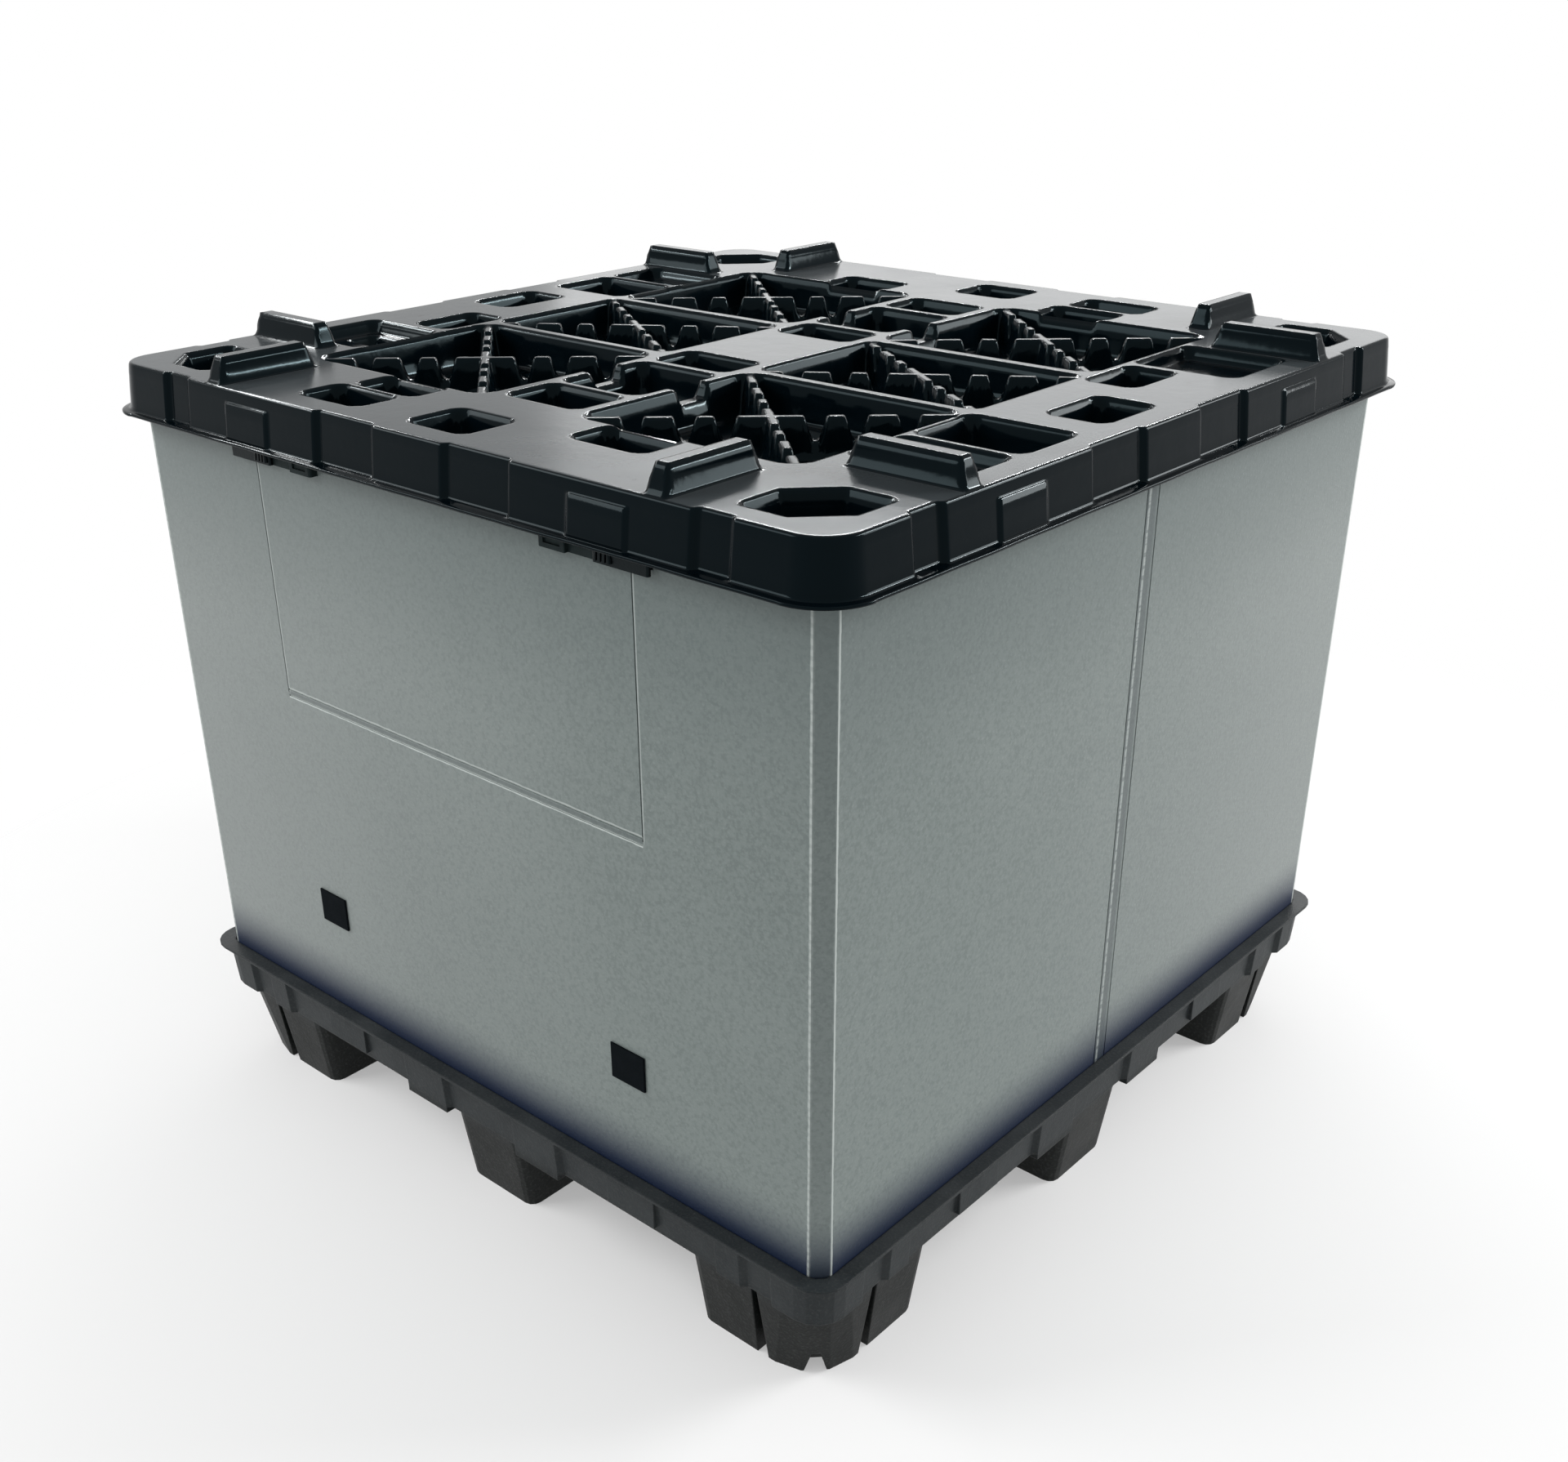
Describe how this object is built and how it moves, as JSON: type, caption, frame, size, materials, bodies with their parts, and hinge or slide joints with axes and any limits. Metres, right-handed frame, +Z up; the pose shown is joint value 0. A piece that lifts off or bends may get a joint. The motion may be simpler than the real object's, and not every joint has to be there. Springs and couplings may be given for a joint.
{
  "type": "sleeve pack container",
  "caption": "Returnable bulk container: formed pallet tray with cup feet, folded board sleeve with a drop hatch, and a formed lid with ribbed recesses and stacking stops.",
  "frame": {"origin": "on the floor under the middle of the container", "axes": "+Z up; -Y out of the side with the drop hatch; +X to the right seen from that side"},
  "size_m": [1.144, 1.144, 1.001],
  "materials": {
    "tray_plastic": "matte, grained charcoal",
    "sleeve_board": "satin silver grey",
    "lid_plastic": "glossy black",
    "guide_plastic": "satin charcoal",
    "slider_plastic": "satin black",
    "pad_material": "matt black"
  },
  "bodies": {
    "base": {"pallet": "tray_plastic", "sleeve": "sleeve_board", "latch_guide_left": "guide_plastic", "latch_guide_right": "guide_plastic", "keeper_pad_left": "pad_material", "keeper_pad_right": "pad_material"},
    "lid": {"lid": "lid_plastic"},
    "left_latch": {"latch_slider_left": "slider_plastic"},
    "right_latch": {"latch_slider_right": "slider_plastic"}
  },
  "joints": [
    {"name": "lid_lift", "type": "slide", "parent": "base", "child": "lid", "axis": [0, 0, 1], "range_m": [0, 0.12]},
    {"name": "left_latch_slide", "type": "slide", "parent": "base", "child": "left_latch", "axis": [1, 0, 0], "range_m": [0, 0.036]},
    {"name": "right_latch_slide", "type": "slide", "parent": "base", "child": "right_latch", "axis": [-1, 0, 0], "range_m": [0, 0.036]}
  ]
}
